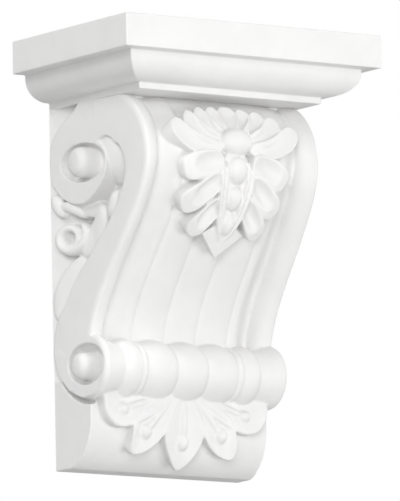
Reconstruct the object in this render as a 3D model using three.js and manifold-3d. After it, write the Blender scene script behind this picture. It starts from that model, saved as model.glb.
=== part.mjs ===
// A moulded corbel: a square moulded cap carried on an S-scroll bracket, fixed flat to a wall.
// Sizes are in millimetres. The back lies on the plane Y = 0, the corbel stands out towards -Y,
// Z is up, and the origin is the middle of the back face.
// Side outlines are drawn as (out, drop): out from the wall, drop below the top of the cap.
import * as THREE from 'three';
import { mergeVertices } from 'three/addons/utils/BufferGeometryUtils.js';
import Module from 'manifold-3d';

const wasm = await Module();
wasm.setup();

// Overall sizes.
const WIDTH = 180;
const PROJECTION = 119;
const HEIGHT = 252;
const TOP = HEIGHT / 2;

// Cap, from the top down: slab, ovolo, fillet. Setbacks are measured in from the slab's edge.
const SLAB_HEIGHT = 19.5;
const SLAB_EASE = 1;
const OVOLO_SETBACK = 8.5;
const OVOLO_LIP = 2.5;
const OVOLO_BOTTOM = 35;
const OVOLO_REACH = 15;
const FILLET_SETBACK = 25.5;
const FILLET_BOTTOM = 39;

// Draft of the sides: half width at the wall and how fast it narrows towards the front.
const BACK_HALF = WIDTH / 2 - FILLET_SETBACK;
const FOOT_DRAFT = 0.07;
const SCROLL_HALF = 67;
const SCROLL_DRAFT = 0.065;
const RECESS_DRAFT = 0.3;
const RECESS_DEPTH = 10.5;

// Front of the S-scroll: a round shoulder that runs into a long ogee.
const SHOULDER_CENTRE = [53.7, 76];
const SHOULDER_RADIUS = 41.3;
const SHOULDER_TOP = 38;
const OGEE_HANDLES = [[95, 109], [50.5, 142]];
const OGEE_END = [37, 176];

// Section across the front: three hollow flutes, then a reed and an edge reed on each side.
const FRONT_HALF = 62;
const FLUTE_COUNT = 3;
const FLUTE_WIDTH = 22;
const FLUTE_DEPTH = 4.5;
const FLUTED_HALF = (FLUTE_COUNT * FLUTE_WIDTH) / 2;
const REED_GROOVE = 46.5;
const GROOVE_DEPTH = 7;
const EDGE_CREST = 57.5;
const EDGE_ROUND = 3.5;

// Upper volute: a spiral that opens from its front edge round to the wall.
const UPPER_EYE = [36, 77];
const VOLUTE_START = 18.6;
const VOLUTE_GROWTH = 0.187;
const VOLUTE_LIMIT = 34.5;
const GAP_TOP = [61.5, 67];

// Lower roll, lying along X, with drums in line with the flutes.
const ROLL_CENTRE = [35.5, 194.9];
const ROLL_RADIUS = 20.5;
const DRUM_RADIUS = 20.3;
const DRUM_GROOVE = 16.6;
const ROLL_HALF = 63;
const DISC_RADIUS = 19.8;

// Eye bosses and the scoops round them.
const EYE_RADIUS = 8.4;
const EYE_PROUD = 2;
const SCOOP = { deep: 9, out: 18, drop: 12.5 };

// Rosette in each side recess.
const ROSETTE_CENTRE = [19, 116.5];
const ROSETTE_RADIUS = 7.6;
const ROSETTE_TUBE = 3.6;

// How deep the underside of the applied ornament sinks into the surface that carries it.
const ROOT_DEPTH = 9;

// Foot below the roll.
const FOOT_TOP = 200;
const FOOT_OUT = 34;
const FOOT_ROUND = 30;
const FOOT_ROUND_DROP = 224;

const WHITE = new THREE.MeshStandardMaterial({ color: 0xf1f0ed, roughness: 0.6, metalness: 0 });

const lerp = THREE.MathUtils.lerp;
const scrollHalf = (out) => SCROLL_HALF - SCROLL_DRAFT * out;
const footHalf = (out) => BACK_HALF - FOOT_DRAFT * out;
const recessHalf = (out) => BACK_HALF - Math.min(RECESS_DEPTH, RECESS_DRAFT * out);
const place = (x, out, drop) => new THREE.Vector3(x, -out, TOP - drop);

// Closed solid from a geometry's triangles.
function solid(geometry) {
  geometry.deleteAttribute('normal');
  geometry.deleteAttribute('uv');
  const merged = mergeVertices(geometry, 1e-4);
  return new wasm.Manifold(new wasm.Mesh({
    numProp: 3,
    vertProperties: new Float32Array(merged.attributes.position.array),
    triVerts: new Uint32Array(merged.index.array),
  }));
}

// Moves every corner of a geometry by a function of its old position.
function reshape(geometry, move) {
  const position = geometry.attributes.position;
  for (let i = 0; i < position.count; i++) {
    const to = move(position.getX(i), position.getY(i), position.getZ(i));
    position.setXYZ(i, to.x, to.y, to.z);
  }
  return geometry;
}

// The same geometry on the other side of the middle plane X = 0.
function mirrored(geometry) {
  const copy = geometry.clone();
  if (!copy.index) copy.setIndex([...Array(copy.attributes.position.count).keys()]);
  copy.scale(-1, 1, 1);
  copy.index.array.reverse();
  return copy;
}

// Solids of a geometry and its mirror image.
function pair(geometry) {
  return [solid(mirrored(geometry)), solid(geometry)];
}

const join = (solids) => solids.reduce((all, one) => all.add(one));

// Side outline stretched across the width, from one half width to another.
function acrossWidth(outline, from, to) {
  const shape = new THREE.Shape(outline.map(([out, drop]) => new THREE.Vector2(out, drop)));
  const geometry = new THREE.ExtrudeGeometry(shape, { depth: 1, bevelEnabled: false });
  return reshape(geometry, (out, drop, side) => place(lerp(from(out), to(out), side), out, drop));
}

// Points along an arc; angles in degrees, turning from out towards drop.
function arc([out, drop], radiusOut, radiusDrop, start, end, steps) {
  return Array.from({ length: steps + 1 }, (_, i) => {
    const angle = THREE.MathUtils.degToRad(lerp(start, end, i / steps));
    return [out + radiusOut * Math.cos(angle), drop + radiusDrop * Math.sin(angle)];
  });
}

// Cap: the same moulding seen from the front and from the side, mitred where the two meet.
function capSolid() {
  const ovolo = arc([OVOLO_SETBACK + OVOLO_REACH, SLAB_HEIGHT + OVOLO_LIP], -OVOLO_REACH,
    OVOLO_BOTTOM - SLAB_HEIGHT - OVOLO_LIP, 0, 90, 8);
  const moulding = [
    [SLAB_EASE, 0], [0, SLAB_EASE], [0, SLAB_HEIGHT - SLAB_EASE], [SLAB_EASE, SLAB_HEIGHT],
    [OVOLO_SETBACK, SLAB_HEIGHT], ...ovolo, [FILLET_SETBACK, OVOLO_BOTTOM], [FILLET_SETBACK, FILLET_BOTTOM],
  ];
  const right = moulding.map(([setback, drop]) => [WIDTH / 2 - setback, drop]);
  const left = right.map(([x, drop]) => [-x, drop]).reverse();
  const front = new THREE.Shape([...right, ...left].map(([x, drop]) => new THREE.Vector2(x, TOP - drop)));
  const alongWall = new THREE.ExtrudeGeometry(front, { depth: PROJECTION, bevelEnabled: false });
  reshape(alongWall, (x, z, depth) => new THREE.Vector3(x, -depth, z));
  const side = [[0, 0], ...moulding.map(([setback, drop]) => [PROJECTION - setback, drop]), [0, FILLET_BOTTOM]];
  const outward = acrossWidth(side, () => -WIDTH / 2, () => WIDTH / 2);
  return solid(alongWall).intersect(solid(outward));
}

// Front line of the S-scroll, from under the fillet to the top of the roll.
function frontLine() {
  const [out, drop] = SHOULDER_CENTRE;
  const line = new THREE.Path();
  const start = -Math.asin((drop - SHOULDER_TOP) / SHOULDER_RADIUS);
  line.absarc(out, drop, SHOULDER_RADIUS, start, 0, false);
  line.bezierCurveTo(...OGEE_HANDLES[0], ...OGEE_HANDLES[1], ...OGEE_END);
  return line;
}

// Back edge of the scroll band on the sides.
function bandBack() {
  const points = [[55, 38], [67, 62], [74, 79], [69, 97], [56, 114], [41, 127.5], [26, 141], [14, 156.5], [7, 172]];
  return new THREE.SplineCurve(points.map((point) => new THREE.Vector2(...point)));
}

// How far the front lies below its crests at a place across the width.
function frontDepth(x) {
  const side = Math.abs(x);
  if (side <= FLUTED_HALF) {
    const across = ((x + FLUTED_HALF) / FLUTE_WIDTH) % 1;
    return FLUTE_DEPTH * (1 - (2 * across - 1) ** 2);
  }
  if (side <= REED_GROOVE) {
    const fall = (side - FLUTED_HALF) / (REED_GROOVE - FLUTED_HALF);
    return GROOVE_DEPTH * (1 - Math.sqrt(1 - fall * fall));
  }
  if (side <= EDGE_CREST) {
    const rise = (EDGE_CREST - side) / (EDGE_CREST - REED_GROOVE);
    return GROOVE_DEPTH * (1 - Math.sqrt(1 - rise * rise));
  }
  const turn = (side - EDGE_CREST) / (FRONT_HALF - EDGE_CREST);
  return EDGE_ROUND * (1 - Math.sqrt(Math.max(0, 1 - turn * turn)));
}

// Places across the front where the section is cut, closer on the steep parts.
function frontStations() {
  const half = [];
  const fluteStep = FLUTE_WIDTH / 4;
  for (let x = fluteStep; x <= FLUTED_HALF; x += fluteStep) half.push(x);
  for (const turn of [0.5, 0.85, 1]) half.push(lerp(FLUTED_HALF, REED_GROOVE, turn));
  for (const turn of [0.15, 0.5, 1]) half.push(lerp(REED_GROOVE, EDGE_CREST, turn));
  for (const turn of [0.7, 1]) half.push(lerp(EDGE_CREST, FRONT_HALF, turn));
  return [...half.map((x) => -x).reverse(), 0, ...half];
}

// The scroll band: a block bent along the S, fluted and reeded in front.
function bandSolid() {
  const front = frontLine();
  const back = bandBack();
  const stations = frontStations();
  const steps = 20;
  const block = new THREE.BoxGeometry(2, 1, 1, stations.length - 1, steps, 1);
  return solid(reshape(block, (across, up, depth) => {
    const along = 0.5 - up;
    const x = stations[Math.round(((across + 1) / 2) * (stations.length - 1))];
    let { x: out, y: drop } = back.getPointAt(along);
    if (depth > 0) {
      const crest = front.getPoint(along);
      const tangent = front.getTangent(along);
      out = crest.x - tangent.y * frontDepth(x);
      drop = crest.y + tangent.x * frontDepth(x);
    }
    return place((x / FRONT_HALF) * scrollHalf(out), out, drop);
  }));
}

// The plain heart of the bracket; its sloping sides are the floors of the side recesses.
function coreSolid() {
  const knee = RECESS_DEPTH / RECESS_DRAFT;
  const wedge = [[0, 38], [knee, 38], [knee, 205], [0, 205]];
  const nose = [[knee - 2, 38], [67, 38], [83, 62], [83, 86], [62, 113], [knee - 2, 140]];
  return join([wedge, nose].map((outline) => solid(acrossWidth(outline, (out) => -recessHalf(out), recessHalf))));
}

// Spiral faces of the upper and lower volutes, one on each side.
function voluteSolids() {
  const spiral = Array.from({ length: 29 }, (_, i) => {
    const angle = THREE.MathUtils.degToRad(lerp(0, 264, i / 28));
    const radius = Math.min(VOLUTE_START * Math.exp(VOLUTE_GROWTH * angle), VOLUTE_LIMIT);
    return [UPPER_EYE[0] + radius * Math.cos(angle), UPPER_EYE[1] + radius * Math.sin(angle)];
  });
  const upper = [...spiral, [34, 38], [60, 38], [70, 66], ...arc(GAP_TOP, 5.2, 5.2, 0, -180, 8)];
  const heel = new THREE.SplineCurve([[7, 172], [4, 187], [9, 201.5], [21, 211], [35.5, 215.4]]
    .map((point) => new THREE.Vector2(...point)));
  const lower = [[14, 158], ...heel.getPoints(14).map(({ x, y }) => [x, y]),
    ...arc(ROLL_CENTRE, DISC_RADIUS, DISC_RADIUS, 80, -90, 16), [30, 160]];
  return [upper, lower].flatMap((outline) => pair(acrossWidth(outline, () => 45, scrollHalf)));
}

// Scoops cut into the volute faces round the eyes.
function scoopSolids() {
  return [[UPPER_EYE[0] - 5, UPPER_EYE[1] - 2.5], [ROLL_CENTRE[0] - 1, ROLL_CENTRE[1] - 4]].flatMap(([out, drop]) => {
    const ball = new THREE.SphereGeometry(1, 16, 8);
    const face = scrollHalf(out) + 1;
    return pair(reshape(ball, (x, y, z) => place(face + SCOOP.deep * x, out - SCOOP.out * y, drop - SCOOP.drop * z)));
  });
}

// Eye bosses: short drums with rounded ends.
function eyeSolids() {
  const profile = [[0, -14], [EYE_RADIUS, -14], [EYE_RADIUS, -3.5], [0.93 * EYE_RADIUS, -1.6],
    [0.74 * EYE_RADIUS, -0.4], [0.4 * EYE_RADIUS, 0], [0, 0]].map((point) => new THREE.Vector2(...point));
  return [UPPER_EYE, [ROLL_CENTRE[0] + 0.5, ROLL_CENTRE[1] - 2]].flatMap(([out, drop]) => {
    const boss = new THREE.LatheGeometry(profile, 12);
    const face = scrollHalf(out) + EYE_PROUD;
    return pair(reshape(boss, (a, along, b) => place(face + along, out + a, drop - b)));
  });
}

// Turned line of the roll on one side of the middle: drums, two rings and a flared end.
function rollLine() {
  const bulge = (from, to, low, high, steps) => Array.from({ length: steps }, (_, i) => {
    const across = (i + 0.5) / steps;
    return [lerp(from, to, across), low + (high - low) * Math.sqrt(1 - (2 * across - 1) ** 2)];
  });
  const line = [[0, DRUM_RADIUS], [4, DRUM_RADIUS - 0.3], [8, DRUM_RADIUS - 1.2], [10.3, DRUM_RADIUS - 2.4]];
  line.push([FLUTE_WIDTH / 2, DRUM_GROOVE], ...bulge(FLUTE_WIDTH / 2, FLUTED_HALF, DRUM_GROOVE, DRUM_RADIUS, 7));
  line.push([FLUTED_HALF, DRUM_GROOVE], [FLUTED_HALF + 1, 18.2], [FLUTED_HALF + 2.6, 18.2], [FLUTED_HALF + 3.4, DRUM_GROOVE]);
  line.push(...bulge(FLUTED_HALF + 3.4, 45, DRUM_GROOVE, 20, 5), [45, DRUM_GROOVE]);
  for (const turn of [0.35, 0.65, 0.85, 1]) line.push([lerp(45, 58, turn), lerp(DRUM_GROOVE, ROLL_RADIUS, turn * turn)]);
  line.push([ROLL_HALF - 1, ROLL_RADIUS], [ROLL_HALF, ROLL_RADIUS - 1], [ROLL_HALF, 0]);
  return line;
}

function rollSolid() {
  const half = rollLine();
  const left = half.slice(1).map(([x, radius]) => [-x, radius]).reverse();
  const profile = [...left, ...half].map(([x, radius]) => new THREE.Vector2(radius, x));
  const turned = new THREE.LatheGeometry(profile, 20);
  return solid(reshape(turned, (a, along, b) => place(along, ROLL_CENTRE[0] + a, ROLL_CENTRE[1] - b)));
}

// Front line of the foot, from behind the roll down to the underside.
function footLine() {
  const end = THREE.MathUtils.radToDeg(Math.asin((HEIGHT - FOOT_ROUND_DROP) / FOOT_ROUND));
  return [[FOOT_OUT, FOOT_TOP], ...arc([FOOT_OUT - FOOT_ROUND, FOOT_ROUND_DROP], FOOT_ROUND, FOOT_ROUND, 0, end, 10)];
}

function footSolid() {
  const outline = [[0, FOOT_TOP], ...footLine(), [0, HEIGHT]];
  return solid(acrossWidth(outline, (out) => -footHalf(out), footHalf));
}

// Surface that carries ornament: (across, drop, lift) to a place in the part.
function onLine(points) {
  return (x, drop, lift) => {
    let i = 1;
    while (i < points.length - 1 && points[i][1] < drop) i++;
    const [outA, dropA] = points[i - 1];
    const [outB, dropB] = points[i];
    const length = Math.hypot(outB - outA, dropB - dropA);
    const out = lerp(outA, outB, (drop - dropA) / (dropB - dropA));
    return place(x, out + (lift * (dropB - dropA)) / length, drop + (lift * (outA - outB)) / length);
  };
}

// Floor of the left recess: (out, drop, lift) to a place in the part.
const onRecess = (out, drop, lift) => place(-recessHalf(out) - lift, out, drop);

// A rounded leaf, petal or bead laid along a line on a surface. It is widest where taper leans,
// dished along its middle when dish is set, and drawn to a point when point is set.
function lobe(surface, line, { half, rise, taper = 0, dish = 0, point = 0, around = 8, along = 7 }) {
  const spine = new THREE.SplineCurve(line.map((place2) => new THREE.Vector2(...place2)));
  return reshape(new THREE.SphereGeometry(1, around, along), (high, y, across) => {
    const t = (y + 1) / 2;
    const centre = spine.getPoint(t);
    const tangent = spine.getTangent(t);
    const wide = half * across * (1 + taper * y) * (1 - point * t ** 3);
    const hollow = dish * Math.max(0, 1 - 2.2 * across * across) * (1 - y * y);
    const lift = high > 0 ? rise * (high ** 0.6 - hollow) : ROOT_DEPTH * high;
    return surface(centre.x + tangent.y * wide, centre.y - tangent.x * wide, lift);
  });
}

// A lobe on each side of the middle plane.
function lobePair(surface, line, options) {
  return pair(lobe(surface, line, options));
}

// Leaf on the shoulder: a fan over a chain of beads, side petals and a pointed tip.
function frontLeafSolids() {
  const surface = onLine(frontLine().getPoints(30).map(({ x, y }) => [x, y]));
  const bead = (drop, half, length, rise) =>
    solid(lobe(surface, [[0, drop - length], [0, drop + length]], { half, rise, around: 10, along: 8 }));
  const fan = [
    [[[6, 66], [15, 55], [20, 46.5]], { half: 8, rise: 5, taper: 0.35, dish: 0.3 }],
    [[[8, 69], [25, 61], [34, 49]], { half: 8, rise: 5.5, taper: 0.35, dish: 0.3 }],
    [[[9, 72], [31, 68], [45, 55]], { half: 7.5, rise: 6, taper: 0.3, dish: 0.3 }],
  ];
  const petals = [
    [[[9, 78], [24, 80], [36, 86]], { half: 8.5, rise: 5.5, taper: 0.35, dish: 0.45 }],
    [[[8, 84], [20, 93], [32, 107]], { half: 8.5, rise: 6, taper: 0.3, dish: 0.45 }],
    [[[6, 98], [15, 108], [23.5, 120]], { half: 7, rise: 6, taper: 0.3, dish: 0.45 }],
  ];
  return [
    solid(lobe(surface, [[0, 52], [0, 114]], { half: 24, rise: 3.4 })),
    solid(lobe(surface, [[0, 66], [0, 43.5]], { half: 8.5, rise: 5, taper: 0.35, dish: 0.2 })),
    ...[...fan, ...petals].flatMap(([line, options]) => lobePair(surface, line, options)),
    solid(lobe(surface, [[0, 103], [0, 133]], { half: 16.5, rise: 5, point: 0.8 })),
    solid(lobe(surface, [[0, 66], [0, 120]], { half: 8, rise: 6, taper: -0.2 })),
    bead(67.3, 10.5, 7.4, 9.5), bead(83.5, 6.5, 7.6, 8.6), bead(98, 5.4, 6.8, 8.2), bead(111, 4.2, 6.2, 7.6),
  ];
}

// Palmette under the roll: five petals spread from the middle, each with a club in it.
function palmetteSolids() {
  const surface = onLine(footLine());
  const petal = (line, options) => lobe(surface, line, { rise: 4.8, taper: 0.65, dish: 0.3, ...options });
  const club = (line) => lobe(surface, line, { half: 3.8, rise: 6, taper: 0.6, around: 6, along: 6 });
  return [
    solid(petal([[0, 208], [0, 248.5]], { half: 16, point: 0.75 })), solid(club([[0, 206], [0, 239.5]])),
    ...[petal([[6, 208], [35.5, 240.5]], { half: 12, point: 0.7 }), club([[4, 205], [28, 235]]),
      petal([[6, 205], [30, 211.5], [57.5, 215.5]], { half: 13, rise: 5.4, taper: 0.5 }), club([[8, 206], [45, 220]])].flatMap(pair),
  ];
}

// Ornament in each side recess: a long leaf along the band, a frond, a rosette and a bud.
function sideLeafSolids() {
  const [out, drop] = ROSETTE_CENTRE;
  const ring = new THREE.TorusGeometry(ROSETTE_RADIUS, ROSETTE_TUBE, 8, 14);
  reshape(ring, (a, b, high) => onRecess(out + a, drop - b, high + 1.1));
  return [
    ring,
    lobe(onRecess, [[out, drop - 5], [out, drop + 5]], { half: 4.6, rise: 4 }),
    lobe(onRecess, [[8, 169], [21, 146], [42, 122]], { half: 8, rise: 4.5, taper: 0.1 }),
    lobe(onRecess, [[2, 103], [20, 101], [41, 109]], { half: 6, rise: 5.5, taper: 0.2 }),
    lobe(onRecess, [[63, 70], [66, 88], [56, 110]], { half: 3.4, rise: 6.5, taper: 0.4 }),
  ].flatMap(pair);
}

function corbelGeometry() {
  const scroll = join([bandSolid(), coreSolid(), ...voluteSolids(), rollSolid(), footSolid()]);
  const carved = scroll.subtract(join(scoopSolids()));
  const ornament = join([...eyeSolids(), ...frontLeafSolids(), ...palmetteSolids(), ...sideLeafSolids()]);
  const whole = capSolid().add(carved).add(ornament);
  const mesh = whole.getMesh();
  const geometry = new THREE.BufferGeometry();
  geometry.setAttribute('position', new THREE.BufferAttribute(mesh.vertProperties, 3));
  geometry.setIndex(new THREE.BufferAttribute(mesh.triVerts, 1));
  geometry.computeVertexNormals();
  return geometry;
}

const group = new THREE.Group();
const corbel = new THREE.Mesh(corbelGeometry(), WHITE);
corbel.name = 'corbel';
group.add(corbel);

export default group;
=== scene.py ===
"""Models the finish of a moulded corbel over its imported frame, and sets its stage.

The side outlines are drawn as (out, drop): out from the wall, drop below the top of the cap.
Shapes are worked in millimetres and brought to metres when the corbel is joined. A value
named _FORM holds what lobe() is told of a shape.
"""

import bisect
import math

import bmesh
import bpy
from mathutils import Matrix, Vector
from mathutils.geometry import interpolate_bezier


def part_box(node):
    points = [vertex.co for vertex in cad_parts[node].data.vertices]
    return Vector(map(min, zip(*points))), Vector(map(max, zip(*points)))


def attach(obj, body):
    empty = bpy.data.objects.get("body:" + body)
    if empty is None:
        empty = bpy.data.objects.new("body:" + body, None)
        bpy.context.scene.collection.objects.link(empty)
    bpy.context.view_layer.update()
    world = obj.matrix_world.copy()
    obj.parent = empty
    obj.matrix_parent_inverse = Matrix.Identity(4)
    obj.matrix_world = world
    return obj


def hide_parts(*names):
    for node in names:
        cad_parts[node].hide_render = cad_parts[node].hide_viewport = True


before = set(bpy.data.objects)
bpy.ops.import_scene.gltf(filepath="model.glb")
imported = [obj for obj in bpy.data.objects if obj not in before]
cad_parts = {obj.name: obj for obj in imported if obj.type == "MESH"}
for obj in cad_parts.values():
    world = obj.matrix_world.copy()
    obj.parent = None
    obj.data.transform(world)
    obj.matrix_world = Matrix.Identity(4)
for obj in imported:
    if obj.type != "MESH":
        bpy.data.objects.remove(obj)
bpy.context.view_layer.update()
LOW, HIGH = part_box("corbel")

bl_info = {
    "name": "Moulded corbel",
    "version": (1, 0, 0),
    "blender": (4, 5, 0),
    "location": "View3D > Sidebar > Corbel",
    "description": "Builds a scroll corbel with a moulded cap, a leaf and a palmette",
    "category": "Add Mesh",
}

# Millimetres in a metre, and the corbel's height and top in them.
MM = 1000.0
HEIGHT = (HIGH[2] - LOW[2]) * MM
TOP = HIGH[2] * MM
# Where shells start behind the wall; they are cut flat at the wall when they are joined.
BEHIND = -5.0
# Distance below which two points are one.
TINY = 1e-4

SHELLS = ("scroll_shell", "leaf_shell", "palmette_shell", "side_shell")
CAP = "cap_shell"


def length_prop(name, text, default):
    """A length that a user can change, in metres."""
    return bpy.props.FloatProperty(
        name=name, description=text, default=default, min=0.0, unit="LENGTH", precision=4
    )


def colour_prop(name, text, default):
    """A colour that a user can change."""
    return bpy.props.FloatVectorProperty(
        name=name, description=text, default=default, size=3, min=0.0, max=1.0, subtype="COLOR"
    )


def share_prop(name, text, default, top=1.0):
    """A plain number that a user can change."""
    return bpy.props.FloatProperty(name=name, description=text, default=default, min=0.0, max=top)


def angle_prop(name, text, degrees):
    """An angle that a user can change."""
    return bpy.props.FloatProperty(
        name=name, description=text, default=math.radians(degrees), unit="ROTATION"
    )


class CapSettings(bpy.types.PropertyGroup):
    """Sizes of the moulded cap."""

    width: length_prop("Width", "Width of the slab", HIGH[0] - LOW[0])
    projection: length_prop("Projection", "How far the slab stands out from the wall", -LOW[1])
    slab: length_prop("Slab height", "Height of the square slab", 0.0195)
    ovolo_setback: length_prop("Ovolo setback", "How far the ovolo stands behind the slab", 0.0085)
    ovolo_lip: length_prop("Ovolo lip", "Straight part at the top of the ovolo", 0.0025)
    ovolo_bottom: length_prop("Ovolo bottom", "Drop of the ovolo's lower edge", 0.035)
    ovolo_reach: length_prop("Ovolo reach", "How far the ovolo rounds inwards", 0.015)
    fillet_setback: length_prop("Fillet setback", "How far the fillet stands behind the slab", 0.0255)
    fillet_bottom: length_prop("Fillet bottom", "Drop of the fillet's lower edge", 0.039)
    edge_round: length_prop("Edge round", "Rounding of the cap's edges", 0.0008)


class ScrollSettings(bpy.types.PropertyGroup):
    """Sizes of the S-scroll, its volutes and its roll."""

    reed_width: length_prop("Reed width", "Width of one of the three middle reeds", 0.0214)
    reed_rise: length_prop("Reed rise", "Rise of the middle reeds above the lines between them", 0.0028)
    field_depth: length_prop("Field depth", "Depth of the lines between the reeds", 0.0043)
    valley_depth: length_prop("Valley depth", "Depth of the valleys beside the edges", 0.011)
    roll_radius: length_prop("Roll radius", "Radius of the roll at its ends", 0.019)
    drum_radius: length_prop("Drum radius", "Radius of the drums of the roll", 0.0176)
    eye_radius: length_prop("Eye radius", "Radius of the upper eye bosses", 0.0089)
    eye_proud: length_prop("Eye height", "How far the eyes stand out of the volute faces", 0.0058)
    scoop_depth: length_prop("Scoop depth", "Depth of the scoops round the eyes", 0.008)


class FinishSettings(bpy.types.PropertyGroup):
    """Softness of the casting and the look of its primer."""

    grain: length_prop("Casting grain", "Size of the cells that soften the modelled edges", 0.0006)
    keep: share_prop("Faces kept", "Share of the fine faces that is kept", 0.205)
    pale: colour_prop("Pale tone", "Lightest tone of the primer", (0.83, 0.828, 0.822))
    deep: colour_prop("Deep tone", "Darkest tone of the primer", (0.79, 0.788, 0.782))
    gloss_low: share_prop("Smoothest", "Roughness where the primer is smoothest", 0.46)
    gloss_high: share_prop("Roughest", "Roughness where the primer is roughest", 0.60)
    tooth: share_prop("Tooth", "Strength of the fine spray texture", 0.05)


class StageSettings(bpy.types.PropertyGroup):
    """Floor, light and camera."""

    floor_colour: colour_prop("Floor colour", "Colour of the plain floor", (0.66, 0.66, 0.66))
    floor_drop: length_prop("Floor drop", "How far the floor lies below the corbel's middle", 0.9)
    floor_radius: length_prop("Floor radius", "Radius of the round floor", 2.5)
    ambient: share_prop("Ambient light", "Strength of the light from all round", 0.3, 10.0)
    key: share_prop("Key light", "Power of the soft light beside the camera", 37.0, 5000.0)
    right: share_prop("Right light", "Power of the soft light on the right", 21.0, 5000.0)
    fill: share_prop("Left light", "Power of the high soft light on the left", 29.0, 5000.0)
    above: share_prop("Top light", "Power of the soft light above the front", 19.0, 5000.0)
    low: share_prop("Low light", "Power of the soft light below the front", 52.0, 5000.0)
    yaw: angle_prop("Camera turn", "How far the camera stands to the left of the front", 34.63)
    pitch: angle_prop("Camera rise", "How steeply the camera looks up", 8.15)
    roll: angle_prop("Camera tilt", "How far the camera is tilted", -1.12)
    distance: length_prop("Camera distance", "Distance from the camera to the corbel", 5.832)
    lens: bpy.props.FloatProperty(name="Lens", description="Focal length", default=718.56, unit="CAMERA")


SETTINGS = {
    "corbel_cap": CapSettings,
    "corbel_scroll": ScrollSettings,
    "corbel_finish": FinishSettings,
    "corbel_stage": StageSettings,
}

# Draft of the sides: half width at the wall and how fast it narrows towards the front.
BACK_HALF = 64.5
FOOT_DRAFT = 0.07
SCROLL_HALF = 67.0
SCROLL_DRAFT = 0.065
# Side recess: how fast it deepens towards the front and its full depth, first for the level
# that the ornament lies on and then for the floor below it.
RECESS_DRAFT = 0.3
RECESS_DEPTH = 10.5
FLOOR_DRAFT = 0.55
FLOOR_DEPTH = 13.5

# Core: a wedge along the wall and a nose inside the shoulder.
WEDGE = ((BEHIND, 33), (31, 33), (31, 150), (23, 166), (23, 205), (BEHIND, 205))
NOSE_BACK = FLOOR_DEPTH / FLOOR_DRAFT - 2
NOSE = ((NOSE_BACK, 33), (62, 33), (83, 62), (83, 86), (62, 113), (NOSE_BACK, 140))

# Front of the S-scroll: a round shoulder that runs into a long ogee. The leaf follows an ogee
# of its own, a little proud of the other.
SHOULDER = (53.7, 76.0)
SHOULDER_RADIUS = 41.3
SHOULDER_TOP = 35.6
OGEE = ((95.0, 76.0), (95.0, 107.0), (43.0, 146.0), (38.5, 177.0))
LEAF_OGEE = ((95.0, 76.0), (95.0, 109.0), (50.5, 142.0), (37.0, 176.0))
OGEE_POINTS = 80
# Back of the scroll band, how far its tail runs on behind the roll, and its cells.
BAND_BACK = (
    (50, 34), (60.4, 62.9), (68.5, 68.8), (73.4, 81.2), (70.1, 93.9), (60.8, 108.1),
    (41, 127.5), (26, 141), (14, 156.5), (9, 166), (16, 186),
)
BAND_TAIL = 9.0
BAND_ACROSS = 248
BAND_ALONG = 110

# Section across the front, from the middle to one side: reeds, a shoulder, a valley, an edge.
REEDS = 3
FRONT_HALF = 62.0
SHOULDER_LINE = 35.0
SHOULDER_RISE = 1.6
VALLEY = 49.5
EDGE_CREST = 59.5
EDGE_ROUND = 3.0
# Share of its depth that the section has under the cap, and how far down it is full.
TOP_FADE = 0.25
FADE_END = 0.45

# Upper volute: its curl and inner face, the panel over the gap beside it, the ramp in the gap,
# its eye and the scoop round the eye.
UPPER_VOLUTE = (
    (32, 36), (25.2, 43), (14.3, 49), (6.9, 55.4), (3.1, 62.3), (1.9, 71.5), (3.4, 81), (8.3, 88.8),
    (16, 94.6), (28.4, 98.6), (38.5, 97), (47.7, 91), (53.8, 84.5), (56, 77), (54, 69), (47.4, 62.8),
)
UPPER_INNER = 45
GAP_TOP = ((47.4, 62.8), (53.5, 61.2), (60.4, 62.9), (68.5, 68.8))
PANEL_BACK = [(31, 36), (42, 62)]
PANEL_FRONT = [(76, 66), (66, 33)]
GAP_RAMP = ((42, 54), (50, 63), (53, 76), (50, 88))
RAMP_FORM = {"half": 20, "rise": -0.8, "blunt": 2.6, "wall": 2.0, "base": -10}
UPPER_EYE = (32.2, 74.2)
UPPER_SCOOP = ((12.5, 73.4), (54.5, 75.5))
UPPER_SCOOP_HALF = 11.5

# Lower volute: its heel, disc (radius and turn), neck and inner face, its eye and the scoop
# round the eye, and the groove along its heel.
LOWER_VOLUTE = (
    (14, 156.5), (9.3, 161), (5.6, 167), (3.3, 175.2), (3.5, 184.5), (6, 193.5), (11.2, 201.1),
    (19.3, 207.9), (30, 212.3),
)
DISC_RADIUS = 17.0
DISC_TURN = (84, -66)
LOWER_NECK = [(33, 174), (34, 163), (24, 156)]
LOWER_INNER = 56
LOWER_EYE = (31.2, 193.7)
LOWER_SCOOP = ((16.4, 191.6), (51, 193.8))
LOWER_SCOOP_HALF = 12.2
HEEL_GROOVE = (
    (12.5, 158.5), (8.6, 161.5), (4.8, 168), (3, 176), (3.2, 185), (5.4, 194.4), (10.4, 202.4),
    (18.6, 209.4), (28, 213.6), (36, 214.6),
)
GROOVE_HALF = 2.2
GROOVE_DEPTH = 6.0
GROOVE_FORM = {"rise": 5, "blunt": 4, "upright": False, "around": 24, "along": 96}
SCOOP_FORM = {"rise": 4, "upright": False}
VOLUTE_EASE = 1.8

# Eye bosses: their round, how deep they are rooted, how they spread there, and their crown.
EYE_ROUND = 5.2
EYE_ROOT = 16
EYE_SPREAD = 0.8
EYE_CROWN = 0.3
LOWER_EYE_SHARE = 0.88

# Roll: drums in line with the reeds, rings (start, stop, radius), a flare and a round rim.
ROLL_CENTRE = (35.3, 194.3)
ROLL_HALF = 64.4
DRUM_GROOVE = 14.2
DRUM_STEPS = 28
RINGS = ((32.2, 35.6, 16.2), (35.6, 47.5, 17.2))
RING_GROOVE = 14.6
RING_STEPS = 16
BULGE_POWER = 0.7
FLARE_POWER = 1.5
FLARE_STEPS = 12
RIM_WIDTH = 4.2
RIM_STEP = 0.5
RIM_ROUND = 3.2
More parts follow.
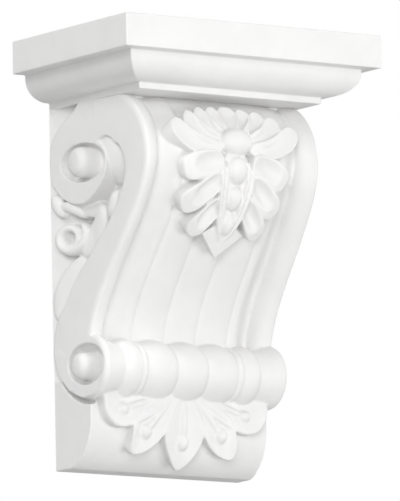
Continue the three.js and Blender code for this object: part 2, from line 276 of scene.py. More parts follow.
# Angles of a quarter round.
QUARTER = [math.radians(turn) for turn in range(0, 91, 15)]

# Foot below the roll.
FOOT_TOP = 200.0
FOOT_OUT = 34.0
FOOT_ROUND = 30.0
FOOT_ROUND_DROP = 224.0

# Ornament: how deep it is rooted, how far its sides are made upright below the surface, and
# the share of a half length at which its far end starts to fall.
ROOT = 9.0
UPRIGHT_LIMIT = 0.45
FALL_START = 0.4


def mm(metres):
    """A setting's length in millimetres."""
    return metres * MM


def mix(a, b, share):
    return a + (b - a) * share


def ease(share):
    """Smooth step from 0 to 1."""
    share = min(max(share, 0.0), 1.0)
    return share * share * (3 - 2 * share)


def place(x, out, drop):
    return Vector((x, -out, TOP - drop))


def scroll_half(out):
    return SCROLL_HALF - SCROLL_DRAFT * out


def foot_half(out):
    return BACK_HALF - FOOT_DRAFT * out


def recess_half(out):
    """Level in the side recess that its ornament lies on."""
    return BACK_HALF - min(RECESS_DEPTH, RECESS_DRAFT * out)


def floor_half(out):
    """Floor of the side recess, below its ornament."""
    return BACK_HALF - min(FLOOR_DEPTH, FLOOR_DRAFT * out)


def arc(centre, radius, start, end, steps):
    """Points along an arc; angles in degrees, turning from out towards drop."""
    points = []
    for i in range(steps + 1):
        angle = math.radians(mix(start, end, i / steps))
        points.append((centre[0] + radius * math.cos(angle), centre[1] + radius * math.sin(angle)))
    return points


def through(points, steps=16):
    """Points along a smooth line through a few points."""
    knots = [Vector(point) for point in points]
    line = []
    for i in range(len(knots) - 1):
        a, b = knots[i], knots[i + 1]
        before = knots[max(i - 1, 0)]
        after = knots[min(i + 2, len(knots) - 1)]
        line += interpolate_bezier(a, a + (b - before) / 6, b - (after - a) / 6, b, steps)[:-1]
    return line + [knots[-1]]


class Line:
    """A line that is read by a share of its length, or by drop."""

    def __init__(self, points):
        self.points = [Vector(point) for point in points]
        self.reach = [0.0]
        for a, b in zip(self.points, self.points[1:]):
            self.reach.append(self.reach[-1] + (b - a).length)
        self.drops = [point.y for point in self.points]

    def read(self, stops, value):
        i = min(max(bisect.bisect_left(stops, value), 1), len(stops) - 1)
        a, b = self.points[i - 1], self.points[i]
        share = (value - stops[i - 1]) / (stops[i] - stops[i - 1])
        return a + (b - a) * share, (b - a).normalized()

    def at(self, share):
        return self.read(self.reach, share * self.reach[-1])

    def level(self, drop):
        return self.read(self.drops, drop)


def front_line(ogee_line=OGEE):
    """Front of the S-scroll, from inside the cap to the top of the roll."""
    start = -math.degrees(math.asin((SHOULDER[1] - SHOULDER_TOP) / SHOULDER_RADIUS))
    shoulder = arc(SHOULDER, SHOULDER_RADIUS, start, 0, steps=60)
    ogee = interpolate_bezier(*(Vector(point) for point in ogee_line), OGEE_POINTS)
    tail = (ogee[-1].x, ogee[-1].y + BAND_TAIL)
    return Line(shoulder + ogee[1:] + [tail])


def foot_line():
    """Front of the foot, from behind the roll down to the underside."""
    end = math.degrees(math.asin((HEIGHT - FOOT_ROUND_DROP) / FOOT_ROUND))
    centre = (FOOT_OUT - FOOT_ROUND, FOOT_ROUND_DROP)
    return Line([(FOOT_OUT, FOOT_TOP)] + arc(centre, FOOT_ROUND, 0, end, steps=40))


def on_line(line, side=1):
    """Surface for ornament on a front line: (across, drop, lift) to a place."""

    def surface(x, drop, lift):
        point, heading = line.level(drop)
        return place(side * x, point.x + lift * heading.y, point.y - lift * heading.x)

    return surface


def on_side(half, side):
    """Surface for ornament on a side face: (out, drop, lift) to a place."""

    def surface(out, drop, lift):
        return place(side * (half(out) + lift), out, drop)

    return surface


def front_depth(x, scroll, share):
    """How far the front lies below its edges at x across the width, a share of the way down."""
    fade = mix(TOP_FADE, 1.0, ease(share / FADE_END))
    reed = mm(scroll.reed_width)
    field = mm(scroll.field_depth) * fade
    valley = mm(scroll.valley_depth) * fade
    field_half = REEDS / 2 * reed
    side = abs(x)
    if side <= field_half:
        across = ((x + field_half) / reed) % 1
        return field - mm(scroll.reed_rise) * fade * math.sqrt(max(0.0, 1 - (2 * across - 1) ** 2))
    if side <= SHOULDER_LINE:
        climb = (side - field_half) / (SHOULDER_LINE - field_half)
        return field - SHOULDER_RISE * fade * math.sqrt(climb)
    if side <= VALLEY:
        fall = (side - SHOULDER_LINE) / (VALLEY - SHOULDER_LINE)
        return mix(field - SHOULDER_RISE * fade, valley, ease(fall))
    if side <= EDGE_CREST:
        rise = (EDGE_CREST - side) / (EDGE_CREST - VALLEY)
        return valley * (1 - math.sqrt(1 - rise * rise))
    turn = (side - EDGE_CREST) / (FRONT_HALF - EDGE_CREST)
    return EDGE_ROUND * (1 - math.sqrt(max(0.0, 1 - turn * turn)))


def new_verts(made):
    return [item for item in made["geom"] if isinstance(item, bmesh.types.BMVert)]


def band(bm, scroll):
    """The scroll band: a sheet bent along the S, fluted and reeded in front, and given its depth."""
    front = front_line()
    back = Line(through(BAND_BACK))
    sheet = bmesh.ops.create_grid(bm, x_segments=BAND_ACROSS, y_segments=BAND_ALONG, size=1.0)["verts"]
    behind = new_verts(bmesh.ops.extrude_face_region(bm, geom=bm.faces[:]))
    for verts, line in ((sheet, front), (behind, back)):
        for vert in verts:
            x = vert.co.x * FRONT_HALF
            share = (1 - vert.co.y) / 2
            point, heading = line.at(share)
            depth = front_depth(x, scroll, share) if line is front else 0.0
            out = point.x - heading.y * depth
            vert.co = place(vert.co.x * scroll_half(out), out, point.y + heading.x * depth)


def slab(bm, outline, inner, outer, eased=0):
    """A side outline given its thickness across the width.

    The outer edge along its first eased points is soft.
    """
    ring = [bm.verts.new((out, drop, 0)) for out, drop in outline]
    face = bm.faces.new(ring)
    soft = {(round(out, 3), round(drop, 3)) for out, drop in outline[:eased]}
    made = bmesh.ops.extrude_face_region(bm, geom=[face])
    rim = [item for item in made["geom"] if isinstance(item, bmesh.types.BMEdge)]
    edges = [
        edge for edge in rim
        if all((round(vert.co.x, 3), round(vert.co.y, 3)) in soft for vert in edge.verts)
    ]
    for vert in ring:
        vert.co = place(inner(vert.co.x), vert.co.x, vert.co.y)
    for vert in new_verts(made):
        vert.co = place(outer(vert.co.x), vert.co.x, vert.co.y)
    if edges:
        bmesh.ops.bevel(
            bm, geom=edges, offset=VOLUTE_EASE, segments=4, profile=0.5, affect="EDGES",
            clamp_overlap=True, material=-1,
        )


def full_width(bm, outline, half):
    """A slab that runs from one side to the other."""
    slab(bm, outline, lambda out: -half(out), half)


def foot(bm):
    outline = [(BEHIND, FOOT_TOP)] + [tuple(point) for point in foot_line().points] + [(BEHIND, HEIGHT)]
    full_width(bm, outline, foot_half)


def upper_volute():
    """Outline of the upper volute's face and how many of its points have a soft edge."""
    curl = [tuple(point) for point in through(UPPER_VOLUTE, steps=10)]
    return curl, len(curl) - 1


def lower_volute():
    """Outline of the lower volute's face and how many of its points have a soft edge."""
    heel = [tuple(point) for point in through(LOWER_VOLUTE, steps=8)]
    outline = heel + arc(ROLL_CENTRE, DISC_RADIUS, *DISC_TURN, steps=36)
    return outline + LOWER_NECK, len(outline)


def gap_panel():
    """Outline of the plain side above the gap, from the curl to the band."""
    return PANEL_BACK + [tuple(point) for point in through(GAP_TOP, steps=6)] + PANEL_FRONT


def take(bm, part):
    """Adds one shell to the others."""
    mesh = bpy.data.meshes.new("part")
    part.to_mesh(mesh)
    part.free()
    bm.from_mesh(mesh)
    bpy.data.meshes.remove(mesh)


def turned(bm, line, centre, steps=96):
    """Shell turned about a line that runs across the width; line holds (x, radius)."""
    part = bmesh.new()
    ring = [part.verts.new(place(x, centre[0] + radius, centre[1])) for x, radius in line]
    edges = [part.edges.new(ends) for ends in zip(ring, ring[1:])]
    bmesh.ops.spin(
        part, geom=ring + edges, cent=place(0, *centre), axis=(1, 0, 0),
        angle=math.tau, steps=steps, use_merge=True,
    )
    take(bm, part)


def roll_line(scroll):
    """Turned line of the roll from the middle to one end: drums, rings and a flared end."""
    drum = mm(scroll.drum_radius)
    end = mm(scroll.roll_radius)
    reed = mm(scroll.reed_width)
    line = []

    def bulge(start, stop, low, high, steps):
        for i in range(steps + 1):
            across = 2 * i / steps - 1
            swell = max(0, 1 - across**2) ** BULGE_POWER
            line.append((mix(start, stop, i / steps), mix(low, high, swell)))

    bulge(-reed / 2, reed / 2, DRUM_GROOVE, drum, DRUM_STEPS)
    line[:] = [point for point in line if point[0] >= 0]
    bulge(reed / 2, REEDS / 2 * reed, DRUM_GROOVE, drum, DRUM_STEPS)
    for start, stop, high in RINGS:
        bulge(start, stop, RING_GROOVE, high, RING_STEPS)
    flare_start = RINGS[-1][1]
    rim = ROLL_HALF - RIM_WIDTH
    for i in range(1, FLARE_STEPS + 1):
        share = i / FLARE_STEPS
        line.append((mix(flare_start, rim, share), mix(RING_GROOVE, end - RIM_STEP, share**FLARE_POWER)))
    for t in QUARTER:
        line.append((ROLL_HALF - RIM_ROUND * (1 - math.sin(t)), end - RIM_ROUND * (1 - math.cos(t))))
    line.append((ROLL_HALF, 0))
    return line


def roll(bm, scroll):
    half = roll_line(scroll)
    left = [(-x, radius) for x, radius in reversed(half[1:])]
    turned(bm, left + half, ROLL_CENTRE)


def eyes(bm, scroll):
    """Eye bosses: short drums with rounded ends."""
    for centre, share in ((UPPER_EYE, 1.0), (LOWER_EYE, LOWER_EYE_SHARE)):
        radius = mm(scroll.eye_radius) * share
        line = [(-EYE_ROOT, 0), (-EYE_ROOT, radius + EYE_SPREAD), (-EYE_ROUND, radius)]
        for t in QUARTER[1:-1]:
            line.append((EYE_ROUND * (math.sin(t) - 1), radius - EYE_ROUND * (1 - math.cos(t))))
        line += [(0, radius - EYE_ROUND), (EYE_CROWN, 0)]
        face = scroll_half(centre[0]) + mm(scroll.eye_proud)
        for side in (-1, 1):
            turned(bm, [(side * (face + x), r) for x, r in line], centre, steps=48)


def lobe(
    bm, surface, line, half, rise, taper=0.0, point=0.0, blunt=2.0, wall=0.5, edge=1.0, base=0.0,
    bowl=None, fall=0.0, root=ROOT, upright=True, around=40, along=32,
):
    """A rounded leaf, petal or bead laid along a line on a surface.

    It is widest where taper leans and drawn to a point by point; blunt squares its ends.
    Its edge climbs from base by the power wall until edge, a share of the way in, and
    fall lowers its far end. bowl is (depth, centre, half length, half width) of a hollow.
    Below the surface its sides are upright, or else round.
    """
    spine = Line(through(line))
    ball = bmesh.new()
    bmesh.ops.create_uvsphere(ball, u_segments=around, v_segments=along, radius=1.0)
    for vert in ball.verts:
        high, across, y = vert.co
        flat = math.sqrt(max(0.0, 1 - high * high))
        if high < 0 and upright:
            across /= max(flat, UPRIGHT_LIMIT)
            y /= max(flat, UPRIGHT_LIMIT)
        share = min(max((y + 1) / 2, 0.0), 1.0)
        y = 2 * share - 1
        centre, heading = spine.at(share)
        girth = math.sqrt(max(0.0, 1 - y * y))
        swell = max(0.0, 1 - abs(y) ** blunt) ** (1 / blunt) / girth if girth > TINY else 0.0
        wide = half * across * swell * (1 + taper * y) * (1 - point * share**3)
        top = rise - fall * ease((y - FALL_START) / (1 - FALL_START))
        lift = base + root * high if upright else base - root * abs(high) ** wall
        if high > 0:
            lift = mix(base, top, min(1.0, high / edge) ** wall)
            if bowl:
                depth, middle, half_along, half_across = bowl
                lift -= depth * max(0.0, 1 - ((y - middle) / half_along) ** 2 - (across / half_across) ** 2)
        vert.co = surface(centre.x + heading.y * wide, centre.y - heading.x * wide, lift)
    take(bm, ball)


def plate(bm, surface, outline, rise, keel, root=ROOT):
    """A flat-topped leaf tip with straight edges; keel lifts its middle line."""
    part = bmesh.new()
    ring = [part.verts.new((across, drop, 0)) for across, drop in outline]
    made = bmesh.ops.extrude_face_region(part, geom=[part.faces.new(ring)])
    for vert in ring:
        vert.co = surface(vert.co.x, vert.co.y, -root)
    for vert in new_verts(made):
        lift = rise + keel * (abs(vert.co.x) < TINY)
        vert.co = surface(vert.co.x, vert.co.y, lift)
    bmesh.ops.triangulate(part, faces=part.faces)
    take(bm, part)


def closed(bm):
    """Merges what touches and turns every face outwards."""
    bmesh.ops.remove_doubles(bm, verts=bm.verts, dist=TINY)
    bmesh.ops.recalc_face_normals(bm, faces=bm.faces)


def shell(name, bm):
    """Puts a shell in the scene, as work in hand."""
    closed(bm)
    mesh = bpy.data.meshes.new(name)
    bm.to_mesh(mesh)
    bm.free()
    made = bpy.data.objects.new(name, mesh)
    bpy.context.scene.collection.objects.link(made)
    return made


def work(name):
    """A shell that an earlier step made."""
    found = bpy.data.objects.get(name)
    if found is None:
        raise RuntimeError(f"{name} has to be made before the corbel is joined")
    return found


def clear(*objects):
    for done in objects:
        mesh = done.data
        bpy.data.objects.remove(done)
        bpy.data.meshes.remove(mesh)


def finished(made):
    """The mesh of an object with its modifiers worked in."""
    graph = bpy.context.evaluated_depsgraph_get()
    graph.update()
    return bpy.data.meshes.new_from_object(made.evaluated_get(graph))


def boolean(made, other, operation):
    step = made.modifiers.new(operation.lower(), "BOOLEAN")
    step.operation = operation
    step.solver = "MANIFOLD"
    step.object = other


class CORBEL_OT_scroll(bpy.types.Operator):
    """Makes the S-scroll with its core, volutes, roll, eyes and foot"""

    bl_idname = "corbel.scroll"
    bl_label = "Scroll"

    def execute(self, context):
        scroll = context.scene.corbel_scroll
        carved = {name: bmesh.new() for name in ("volutes", "roll", "ramps", "band", "foot", "core")}
        cutters = {"scoops": bmesh.new(), "grooves": bmesh.new()}
        bm = bmesh.new()
        deep = mm(scroll.scoop_depth)
        for side in (-1, 1):
            face = on_side(scroll_half, side)
            flank = on_side(foot_half, side)
            for (outline, eased), inner in ((upper_volute(), UPPER_INNER), (lower_volute(), LOWER_INNER)):
                slab(carved["volutes"], outline, lambda out: side * inner,
                     lambda out: side * scroll_half(out), eased)
            slab(bm, gap_panel(), lambda out: side * UPPER_INNER, lambda out: side * scroll_half(out))
            lobe(carved["ramps"], face, GAP_RAMP, **RAMP_FORM)
            for line, half in ((UPPER_SCOOP, UPPER_SCOOP_HALF), (LOWER_SCOOP, LOWER_SCOOP_HALF)):
                lobe(cutters["scoops"], face, line, half, root=deep, **SCOOP_FORM)
            lobe(cutters["grooves"], flank, HEEL_GROOVE, GROOVE_HALF, root=GROOVE_DEPTH, **GROOVE_FORM)
        roll(carved["roll"], scroll)
        band(carved["band"], scroll)
        foot(carved["foot"])
        full_width(bm, NOSE, floor_half)
        full_width(carved["core"], WEDGE, floor_half)
        tools = {name: shell(name, part) for name, part in cutters.items()}
        for name, part in carved.items():
            whole = shell(name, part)
            if name != "core":
                boolean(whole, tools["scoops"], "DIFFERENCE")
            if name in ("core", "foot"):
                boolean(whole, tools["grooves"], "DIFFERENCE")
            mesh = finished(whole)
            bm.from_mesh(mesh)
            clear(whole)
            bpy.data.meshes.remove(mesh)
        clear(*tools.values())
        eyes(bm, scroll)
        shell("scroll_shell", bm)
        return {"FINISHED"}


# Ground of the leaf, and the middle petal of its fan.
LEAF_BODY = {"line": ((0, 70), (0, 118)), "half": 12.5, "rise": 4.4}
LEAF_GROUND = {"line": ((0, 74), (0, 50)), "half": 26, "rise": 1.0, "taper": 0.3, "blunt": 2.6}
FAN_MIDDLE = {"line": ((0, 64), (0, 46.5)), "half": 6.0, "rise": 3.2, "taper": 0.3}
# Fan of the leaf, one side: line, half width, rise.
FAN = (
    (((4, 64), (9, 56), (12, 47.5)), 4.9, 3.2),
    (((6, 65), (16, 58), (22.5, 49)), 5.2, 3.4),
    (((8, 67), (23, 62), (32, 52)), 5.6, 3.7),
    (((9, 71), (24, 70), (35.5, 65), (43, 57)), 6.0, 4.2),
)
# Side petals of the leaf: line, half width, rise. Those on the right hang a little lower.
PETALS = {
    -1: (
        (((10, 78.5), (22, 80), (37, 84.5)), 7.1, 6.0),
        (((10, 86), (19, 93), (34.5, 104)), 6.5, 6.2),
        (((8, 98), (13.5, 105), (24.5, 117)), 5.8, 6.4),
    ),
    1: (
        (((10, 78.5), (22, 81.5), (35.5, 88.5)), 7.0, 6.0),
        (((10, 87), (19, 94), (32.5, 104.5)), 6.5, 6.2),
        (((8, 98), (14.5, 105.5), (25.5, 117)), 5.9, 6.4),
    ),
}
# Beads down the middle: drop, half width, half length, rise.
BEADS = ((67.3, 10.5, 7.2, 9.8), (83, 6.4, 7.4, 9.2), (97.5, 5.2, 6.8, 9.0), (110.5, 4.6, 6.2, 9.4))
# Thin ribs beside the beads.
RIBS = (
    ((7.6, 78), (7.4, 88), (6.2, 98), (4.8, 108), (0.5, 117.5)),
    ((11, 78), (10.4, 90), (8.8, 101), (6.4, 111), (0.6, 121)),
)
# Pointed tip: outline, rise and the lift of its middle line.
TIP = ((0, 108), (14.5, 116.5), (0, 128.6), (-14.5, 116.5))
TIP_RISE = 4.6
TIP_KEEL = 1.0
FAN_TAPER = 0.2
FAN_FORM = {"blunt": 2.6, "wall": 0.3, "edge": 0.3, "bowl": (2.3, 0.1, 1.0, 0.88), "fall": -1.5}
PETAL_FORM = {
    "taper": 0.15, "blunt": 3.2, "wall": 0.3, "edge": 0.3, "bowl": (4.4, -0.2, 0.74, 0.76), "fall": 1.8,
}
BEAD_FORM = {"wall": 1.0, "base": 3.0}
RIB_FORM = {"half": 1.3, "rise": 7.2, "blunt": 3.0, "base": 3.0, "along": 48}


class CORBEL_OT_leaf(bpy.types.Operator):
    """Makes the leaf on the shoulder: a fan over a chain of beads, side petals and a pointed tip"""

    bl_idname = "corbel.leaf"
    bl_label = "Shoulder leaf"

    def execute(self, context):
        bm = bmesh.new()
        line = front_line(LEAF_OGEE)
        middle = on_line(line)
        lobe(bm, middle, **LEAF_BODY)
        lobe(bm, middle, **LEAF_GROUND)
        lobe(bm, middle, **FAN_MIDDLE, **FAN_FORM)
        plate(bm, middle, TIP, TIP_RISE, TIP_KEEL)
        for drop, half, length, rise in BEADS:
            lobe(bm, middle, ((0, drop - length), (0, drop + length)), half, rise, **BEAD_FORM)
        for side in (-1, 1):
            surface = on_line(line, side)
            for spine, half, rise in FAN:
                lobe(bm, surface, spine, half, rise, FAN_TAPER, **FAN_FORM)
            for spine, half, rise in PETALS[side]:
                lobe(bm, surface, spine, half, rise, **PETAL_FORM)
            for spine in RIBS:
                lobe(bm, surface, spine, **RIB_FORM)
        shell("leaf_shell", bm)
        return {"FINISHED"}


# Palmette, one side and the middle: petal line, half width, taper, point, then the club's line.
MIDDLE_PETAL = (((0, 206), (0, 246.6)), 15, 0.6, 0.76, ((0, 206), (0, 236.6)))
SIDE_PETALS = (
    (((5, 206), (36.5, 240)), 11, 0.6, 0.7, ((4, 206), (28, 231.3))),
    (((6, 205), (30, 211.5), (58, 216)), 13, 0.5, 0.0, ((8, 207), (44.8, 219))),
)
PALMETTE_FORM = {
    "rise": 6.4, "blunt": 2.3, "wall": 0.3, "edge": 0.3, "bowl": (2.6, 0.1, 0.98, 0.86), "fall": -2.4,
}
CLUB_FORM = {"half": 2.2, "rise": 6.6, "taper": 0.3, "wall": 0.6, "base": 1.5}
# Head of a club: its length, and the shares of it that lie before and past the club's end.
CLUB_HEAD = 5
HEAD_BEFORE = 1.2
HEAD_PAST = 0.4
HEAD_FORM = {"half": 4.0, "rise": 8.0, "wall": 1.0, "base": 2.5}


class CORBEL_OT_palmette(bpy.types.Operator):
    """Makes the palmette under the roll: five petals, each with a club in it"""

    bl_idname = "corbel.palmette"
    bl_label = "Palmette"

    def execute(self, context):
        bm = bmesh.new()
        line = foot_line()
        rows = [(1, MIDDLE_PETAL)] + [(side, row) for side in (-1, 1) for row in SIDE_PETALS]
        for side, (spine, half, taper, point, club) in rows:
            surface = on_line(line, side)
            lobe(bm, surface, spine, half, taper=taper, point=point, **PALMETTE_FORM)
            lobe(bm, surface, club, **CLUB_FORM)
            end = Vector(club[1])
            reach = (end - Vector(club[0])).normalized() * CLUB_HEAD
            lobe(bm, surface, (end - reach * HEAD_BEFORE, end + reach * HEAD_PAST), **HEAD_FORM)
        shell("palmette_shell", bm)
        return {"FINISHED"}


# Rosette: a curl that winds inwards, with its centre, outer radii, share of them at its inner
# end, points, first angle and the angle between two points.
ROSETTE = (17.8, 116.4)
ROSETTE_RADII = (11.2, 9.6)
ROSETTE_INNER = 0.3
ROSETTE_POINTS = 19
ROSETTE_START = -60
ROSETTE_STEP = 30
ROSETTE_FORM = {"half": 3.1, "rise": 6.6, "taper": -0.25, "along": 96}
# Leaves in the side recess: line, half width, rise, taper.
SIDE_LEAVES = (
    (((4, 90), (8, 96), (12, 104)), 4.2, 5.6, 0.1),
    (((9, 97), (20, 99.5), (29, 105.5)), 3.8, 6.0, 0.0),
    (((18, 99), (31, 101), (43, 103)), 5.0, 5.0, 0.2),
    (((36, 98), (40, 107), (35, 118), (25, 129)), 7.0, 5.0, 0.0),
    (((5, 164), (11, 146), (27, 128)), 7.0, 4.0, 0.1),
    (((58, 93), (55, 101), (51, 110)), 4.6, 6.5, 0.0),
)


class CORBEL_OT_side_leaves(bpy.types.Operator):
    """Makes the ornament in each side recess: a curled rosette, a frond, a long leaf and a bud"""

    bl_idname = "corbel.side_leaves"
    bl_label = "Side leaves"

    def execute(self, context):
        bm = bmesh.new()
        curl = []
        for i in range(ROSETTE_POINTS):
            angle = math.radians(ROSETTE_START + ROSETTE_STEP * i)
            share = mix(1, ROSETTE_INNER, i / (ROSETTE_POINTS - 1))
            out = ROSETTE[0] + ROSETTE_RADII[0] * share * math.cos(angle)
            curl.append((out, ROSETTE[1] + ROSETTE_RADII[1] * share * math.sin(angle)))
        for side in (-1, 1):
            surface = on_side(recess_half, side)
            lobe(bm, surface, curl, **ROSETTE_FORM)
            for spine, half, rise, taper in SIDE_LEAVES:
                lobe(bm, surface, spine, half, rise, taper)
        shell("side_shell", bm)
        return {"FINISHED"}


# Steps of the ovolo's round, the sharpest angle that is left unrounded, and how level an edge is.
OVOLO_STEPS = 16
CAP_CREASE = math.radians(35)
LEVEL_SLACK = 0.01


class CORBEL_OT_cap(bpy.types.Operator):
    """Makes the cap: a slab over an ovolo and a fillet, returned round three sides"""

    bl_idname = "corbel.cap"
    bl_label = "Cap"

    def execute(self, context):
        cap = context.scene.corbel_cap
        setback = mm(cap.ovolo_setback)
        reach = mm(cap.ovolo_reach)
        lip = mm(cap.slab + cap.ovolo_lip)
        levels = [(0.0, 0.0), (0.0, mm(cap.slab)), (setback, mm(cap.slab))]
        for i in range(OVOLO_STEPS + 1):
            turn = math.radians(90 * i / OVOLO_STEPS)
            levels.append((
                setback + reach * (1 - math.cos(turn)),
                lip + (mm(cap.ovolo_bottom) - lip) * math.sin(turn),
            ))
        levels.append((mm(cap.fillet_setback), mm(cap.ovolo_bottom)))
        levels.append((mm(cap.fillet_setback), mm(cap.fillet_bottom)))
        bm = bmesh.new()
        sheet = bmesh.ops.create_grid(bm, x_segments=1, y_segments=1, size=1.0)["verts"]
        half = mm(cap.width) / 2
        front = mm(cap.projection)
        for vert in sheet:
            vert.co = place(half * vert.co.x, BEHIND if vert.co.y > 0 else front, 0)
        corners = [vert for vert in sheet if vert.co.y < 0]
        bmesh.ops.bevel(
            bm, geom=corners, offset=mm(cap.edge_round), segments=3, profile=0.5,
            affect="VERTICES", material=-1,
        )
        bm.faces.ensure_lookup_table()
        face = bm.faces[0]
        for i, ((near, _), (far, drop)) in enumerate(zip(levels, levels[1:])):
            made = bmesh.ops.extrude_face_region(bm, geom=[face])
            if i > 0:
                bmesh.ops.delete(bm, geom=[face], context="FACES_ONLY")
            face = next(item for item in made["geom"] if isinstance(item, bmesh.types.BMFace))
            for vert in face.verts:
                vert.co.x -= math.copysign(far - near, vert.co.x)
                vert.co.y += far - near if vert.co.y < 0 else 0
                vert.co.z = TOP - drop
        closed(bm)
        bm.normal_update()
        wall_y = -BEHIND - LEVEL_SLACK
        sharp = [
            edge for edge in bm.edges
            if edge.calc_face_angle(0) > CAP_CREASE
            and abs(edge.verts[0].co.z - edge.verts[1].co.z) < LEVEL_SLACK
            and min(vert.co.y for vert in edge.verts) < wall_y
        ]
        bmesh.ops.bevel(
            bm, geom=sharp, offset=mm(cap.edge_round), segments=3, profile=0.5,
            affect="EDGES", clamp_overlap=True, material=-1,
        )
        shell(CAP, bm)
        return {"FINISHED"}


# Primer: refraction, the part of a noise that its tones span, and the heights of its two textures.
PRIMER_IOR = 1.46
NOISE_LOW = 0.3
NOISE_HIGH = 0.7
SAG_HEIGHT = 0.001
TOOTH_HEIGHT = 0.0003
# Edges sharper than this stay crisp.
ARRIS_ANGLE = math.radians(50)


def primer(finish):
    """White spray primer: a faint mottle, a soft uneven sheen and a fine tooth."""
    material = bpy.data.materials.new("white_primer")
    material.use_nodes = True
    nodes = material.node_tree.nodes
    links = material.node_tree.links
    shader = nodes["Principled BSDF"]
    shader.inputs["IOR"].default_value = PRIMER_IOR
    place_of = nodes.new("ShaderNodeTexCoord").outputs["Object"]

    def noise(scale, detail, rough=0.5):
        made = nodes.new("ShaderNodeTexNoise")
        made.inputs["Scale"].default_value = scale
        made.inputs["Detail"].default_value = detail
        made.inputs["Roughness"].default_value = rough
        links.new(place_of, made.inputs["Vector"])
        return made.outputs["Fac"]

    mottle = nodes.new("ShaderNodeValToRGB")
    mottle.color_ramp.elements[0].position = NOISE_LOW
    mottle.color_ramp.elements[0].color = (*finish.deep, 1)
    mottle.color_ramp.elements[1].position = NOISE_HIGH
    mottle.color_ramp.elements[1].color = (*finish.pale, 1)
    links.new(noise(scale=38, detail=5, rough=0.6), mottle.inputs["Fac"])
    links.new(mottle.outputs["Color"], shader.inputs["Base Color"])

    sheen = nodes.new("ShaderNodeMapRange")
    sheen.inputs["From Min"].default_value = NOISE_LOW
    sheen.inputs["From Max"].default_value = NOISE_HIGH
    sheen.inputs["To Min"].default_value = finish.gloss_low
    sheen.inputs["To Max"].default_value = finish.gloss_high
    links.new(noise(scale=120, detail=3), sheen.inputs["Value"])
    links.new(sheen.outputs["Result"], shader.inputs["Roughness"])

    def bump(height, pattern):
        made = nodes.new("ShaderNodeBump")
        made.inputs["Strength"].default_value = finish.tooth
        made.inputs["Distance"].default_value = height
        links.new(pattern, made.inputs["Height"])
        return made

    sag = bump(SAG_HEIGHT, noise(scale=160, detail=2))
    tooth = bump(TOOTH_HEIGHT, noise(scale=1500, detail=2))
    links.new(sag.outputs["Normal"], tooth.inputs["Normal"])
    links.new(tooth.outputs["Normal"], shader.inputs["Normal"])
    return material


class CORBEL_OT_join(bpy.types.Operator):
    """Fuses the shells into one soft-edged casting under its crisp cap, cut flat at the wall"""

    bl_idname = "corbel.join"
    bl_label = "Join and finish"

    def execute(self, context):
        finish = context.scene.corbel_finish
        bm = bmesh.new()
        for name in SHELLS:
            bm.from_mesh(work(name).data)
        fused = shell("fused", bm)
        soften = fused.modifiers.new("fuse", "REMESH")
        soften.mode = "VOXEL"
        soften.voxel_size = mm(finish.grain)
        relax = fused.modifiers.new("relax", "SMOOTH")
        relax.factor = 0.5
        relax.iterations = 2
        thin = fused.modifiers.new("thin", "DECIMATE")
        thin.ratio = finish.keep
        boolean(fused, work(CAP), "UNION")
        mesh = finished(fused)
        mesh.name = "corbel"
        clear(fused, work(CAP), *(work(name) for name in SHELLS))

        bm = bmesh.new()
        bm.from_mesh(mesh)
        everything = bm.verts[:] + bm.edges[:] + bm.faces[:]
        bmesh.ops.bisect_plane(
            bm, geom=everything, dist=TINY, plane_co=(0, 0, 0), plane_no=(0, 1, 0), clear_outer=True
        )
        rim = [edge for edge in bm.edges if edge.is_boundary]
        bmesh.ops.holes_fill(bm, edges=rim, sides=0)
        bmesh.ops.triangulate(bm, faces=[face for face in bm.faces if len(face.verts) > 4])
        bmesh.ops.recalc_face_normals(bm, faces=bm.faces)
        for face in bm.faces:
            face.smooth = True
        for edge in bm.edges:
            edge.smooth = edge.calc_face_angle(0) < ARRIS_ANGLE
        bmesh.ops.transform(bm, matrix=Matrix.Scale(1 / MM, 4), verts=bm.verts)
        bm.to_mesh(mesh)
        bm.free()

        corbel = bpy.data.objects.new("corbel_casting", mesh)
        context.scene.collection.objects.link(corbel)
        normals = corbel.modifiers.new("even_normals", "WEIGHTED_NORMAL")
        normals.keep_sharp = True
        mesh.materials.clear()
        mesh.materials.append(primer(finish))
        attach(corbel, "root")
        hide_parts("corbel")
        return {"FINISHED"}


# How far the lights stand away, the point that the camera looks at, and how far it is then
# moved to the left and up.
LIGHT_DISTANCE = 3.0
CAMERA_AIM = (0, -0.059, -0.0005)
CAMERA_LEFT = 0.000338
CAMERA_UP = 0.001212


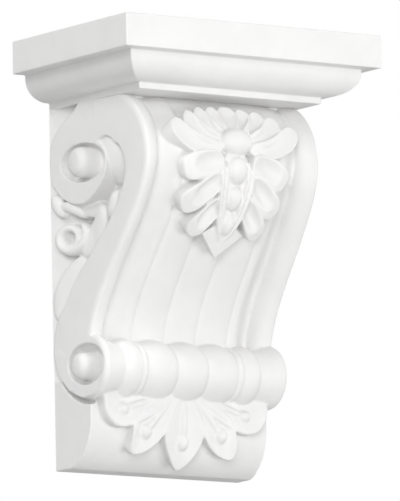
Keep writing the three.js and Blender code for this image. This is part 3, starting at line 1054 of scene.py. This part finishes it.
class CORBEL_OT_stage(bpy.types.Operator):
    """Sets the plain floor, the soft light and the camera"""

    bl_idname = "corbel.stage"
    bl_label = "Stage"

    def execute(self, context):
        scene = context.scene
        stage = scene.corbel_stage
        scene.view_settings.view_transform = "Standard"
        self.floor(scene, stage)
        self.world(scene, stage)
        self.lights(scene, stage)
        self.camera(scene, stage)
        return {"FINISHED"}

    def floor(self, scene, stage):
        bm = bmesh.new()
        bmesh.ops.create_circle(bm, cap_ends=True, segments=96, radius=stage.floor_radius)
        bmesh.ops.translate(bm, verts=bm.verts, vec=(0, 0, -stage.floor_drop))
        mesh = bpy.data.meshes.new("floor")
        bm.to_mesh(mesh)
        bm.free()
        paint = bpy.data.materials.new("floor_paint")
        paint.use_nodes = True
        shader = paint.node_tree.nodes["Principled BSDF"]
        shader.inputs["Base Color"].default_value = (*stage.floor_colour, 1)
        shader.inputs["Roughness"].default_value = 0.9
        mesh.materials.append(paint)
        floor = bpy.data.objects.new("floor", mesh)
        scene.collection.objects.link(floor)

    def world(self, scene, stage):
        world = bpy.data.worlds.new("studio")
        scene.world = world
        world.use_nodes = True
        nodes = world.node_tree.nodes
        links = world.node_tree.links
        soft = nodes["Background"]
        soft.inputs["Color"].default_value = (1, 1, 1, 1)
        soft.inputs["Strength"].default_value = stage.ambient
        seen = nodes.new("ShaderNodeBackground")
        seen.inputs["Color"].default_value = (1, 1, 1, 1)
        choose = nodes.new("ShaderNodeMixShader")
        links.new(nodes.new("ShaderNodeLightPath").outputs["Is Camera Ray"], choose.inputs["Fac"])
        links.new(soft.outputs["Background"], choose.inputs[1])
        links.new(seen.outputs["Background"], choose.inputs[2])
        links.new(choose.outputs["Shader"], nodes["World Output"].inputs["Surface"])

    def lights(self, scene, stage):
        for name, power, size, turn, rise in (
            ("camera_side", stage.key, 1.2, -35, 5),
            ("right", stage.right, 1.2, 75, 10),
            ("left_high", stage.fill, 1.2, -88, 38),
            ("above", stage.above, 1.2, -20, 60),
            ("low_front", stage.low, 1.6, 15, -20),
        ):
            turn = math.radians(turn)
            rise = math.radians(rise)
            spot = LIGHT_DISTANCE * Vector((
                math.sin(turn) * math.cos(rise),
                -math.cos(turn) * math.cos(rise),
                math.sin(rise),
            ))
            data = bpy.data.lights.new(name, "AREA")
            data.energy = power
            data.size = size
            light = bpy.data.objects.new(name, data)
            light.location = spot
            light.rotation_euler = spot.to_track_quat("Z", "Y").to_euler()
            scene.collection.objects.link(light)

    def camera(self, scene, stage):
        ahead = Vector((
            math.sin(stage.yaw) * math.cos(stage.pitch),
            math.cos(stage.yaw) * math.cos(stage.pitch),
            math.sin(stage.pitch),
        ))
        level = Vector((math.cos(stage.yaw), -math.sin(stage.yaw), 0))
        over = level.cross(ahead)
        right = level * math.cos(stage.roll) + over * math.sin(stage.roll)
        up = over * math.cos(stage.roll) - level * math.sin(stage.roll)
        spot = Vector(CAMERA_AIM) - right * CAMERA_LEFT + up * CAMERA_UP - ahead * stage.distance
        data = bpy.data.cameras.new("camera")
        data.lens = stage.lens
        data.sensor_width = 36.0
        data.clip_end = 50.0
        camera = bpy.data.objects.new("camera", data)
        turn = Matrix((right, up, -ahead)).transposed().to_4x4()
        camera.matrix_world = Matrix.Translation(spot) @ turn
        scene.collection.objects.link(camera)
        scene.camera = camera


STEPS = (
    CORBEL_OT_stage,
    CORBEL_OT_scroll,
    CORBEL_OT_leaf,
    CORBEL_OT_palmette,
    CORBEL_OT_side_leaves,
    CORBEL_OT_cap,
    CORBEL_OT_join,
)


class CORBEL_PT_panel(bpy.types.Panel):
    """Lists the steps and the settings of the corbel"""

    bl_idname = "CORBEL_PT_panel"
    bl_label = "Moulded corbel"
    bl_space_type = "VIEW_3D"
    bl_region_type = "UI"
    bl_category = "Corbel"

    def draw(self, context):
        for group, kind in SETTINGS.items():
            box = self.layout.box()
            for name in kind.__annotations__:
                box.prop(getattr(context.scene, group), name)
        for step in STEPS:
            self.layout.operator(step.bl_idname)


def register():
    for kind in (*SETTINGS.values(), *STEPS, CORBEL_PT_panel):
        bpy.utils.register_class(kind)
    for name, kind in SETTINGS.items():
        setattr(bpy.types.Scene, name, bpy.props.PointerProperty(type=kind))


def unregister():
    for name in SETTINGS:
        delattr(bpy.types.Scene, name)
    for kind in (CORBEL_PT_panel, *reversed(STEPS), *reversed(SETTINGS.values())):
        bpy.utils.unregister_class(kind)


def main():
    register()
    bpy.ops.corbel.stage()
    bpy.ops.corbel.scroll()
    bpy.ops.corbel.leaf()
    bpy.ops.corbel.palmette()
    bpy.ops.corbel.side_leaves()
    bpy.ops.corbel.cap()
    bpy.ops.corbel.join()


if __name__ == "__main__":
    main()
